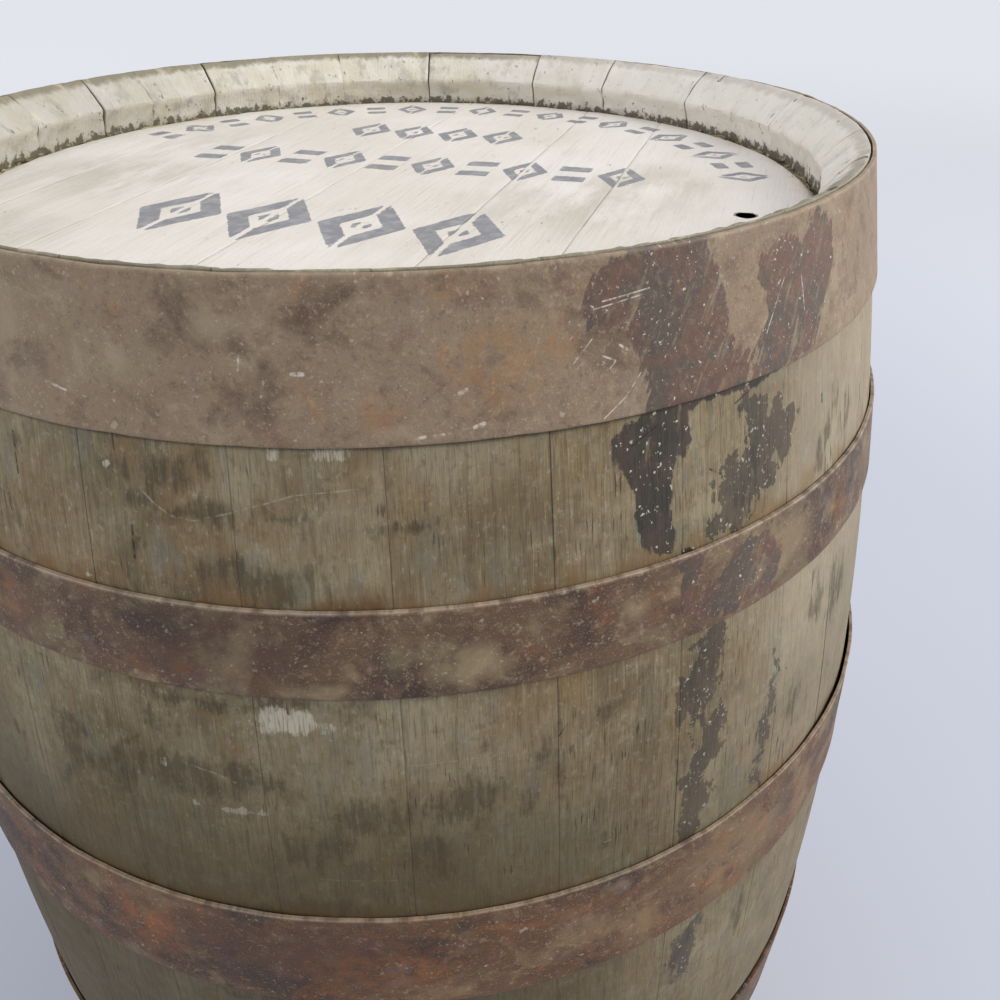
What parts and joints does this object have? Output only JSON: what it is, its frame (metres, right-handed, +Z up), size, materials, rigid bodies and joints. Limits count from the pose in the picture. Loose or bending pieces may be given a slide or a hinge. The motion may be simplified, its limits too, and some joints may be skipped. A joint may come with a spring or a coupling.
{
  "type": "oak wine barrel",
  "caption": "Coopered oak cask with bulged staves, boarded heads set in grooved ends, riveted steel hoops and a tapered bung that pulls out of the side.",
  "frame": {"origin": "centre of the lower rim, on the plane the cask stands on", "axes": "+Z up along the cask's axis of rotation; the bung faces +Y"},
  "size_m": [0.6378, 0.6378, 0.904],
  "materials": {
    "weathered_oak": "weathered, dry",
    "painted_head": "old matt white paint over oak",
    "bare_head_oak": "weathered, dry",
    "hoop_steel": "dull rust",
    "rivet_steel": "dull rust",
    "dowel_wood": "raw",
    "flag_seal": "dried rush",
    "spile_wood": "dark, soaked",
    "bung_wood": "worn"
  },
  "bodies": {
    "cask": {"stave_01": "weathered_oak", "stave_02": "weathered_oak", "stave_03": "weathered_oak", "stave_04": "weathered_oak", "stave_05": "weathered_oak", "stave_06": "weathered_oak", "stave_07": "weathered_oak", "stave_08": "weathered_oak", "stave_09": "weathered_oak", "stave_10": "weathered_oak", "bung_stave": "weathered_oak", "stave_12": "weathered_oak", "stave_13": "weathered_oak", "stave_14": "weathered_oak", "stave_15": "weathered_oak", "stave_16": "weathered_oak", "stave_17": "weathered_oak", "stave_18": "weathered_oak", "stave_19": "weathered_oak", "stave_20": "weathered_oak", "stave_21": "weathered_oak", "stave_22": "weathered_oak", "stave_23": "weathered_oak", "stave_24": "weathered_oak", "stave_25": "weathered_oak", "stave_26": "weathered_oak", "stave_27": "weathered_oak", "stave_28": "weathered_oak", "top_head_board_1": "painted_head", "top_head_board_2": "painted_head", "top_head_board_3": "painted_head", "top_head_board_4": "painted_head", "top_head_board_5": "painted_head", "top_head_board_6": "painted_head", "bottom_head_board_1": "bare_head_oak", "bottom_head_board_2": "bare_head_oak", "bottom_head_board_3": "bare_head_oak", "bottom_head_board_4": "bare_head_oak", "bottom_head_board_5": "bare_head_oak", "bottom_head_board_6": "bare_head_oak", "top_head_hoop": "hoop_steel", "top_quarter_hoop": "hoop_steel", "top_bilge_hoop": "hoop_steel", "bottom_bilge_hoop": "hoop_steel", "bottom_quarter_hoop": "hoop_steel", "bottom_head_hoop": "hoop_steel", "hoop_rivets": "rivet_steel", "top_head_dowels": "dowel_wood", "bottom_head_dowels": "dowel_wood", "top_head_flag": "flag_seal", "bottom_head_flag": "flag_seal", "head_spile": "spile_wood"},
    "bung": {"bung": "bung_wood"}
  },
  "joints": [
    {"name": "bung_pull", "type": "slide", "parent": "cask", "child": "bung", "axis": [0, 1, 0], "range_m": [0, 0.08]}
  ]
}
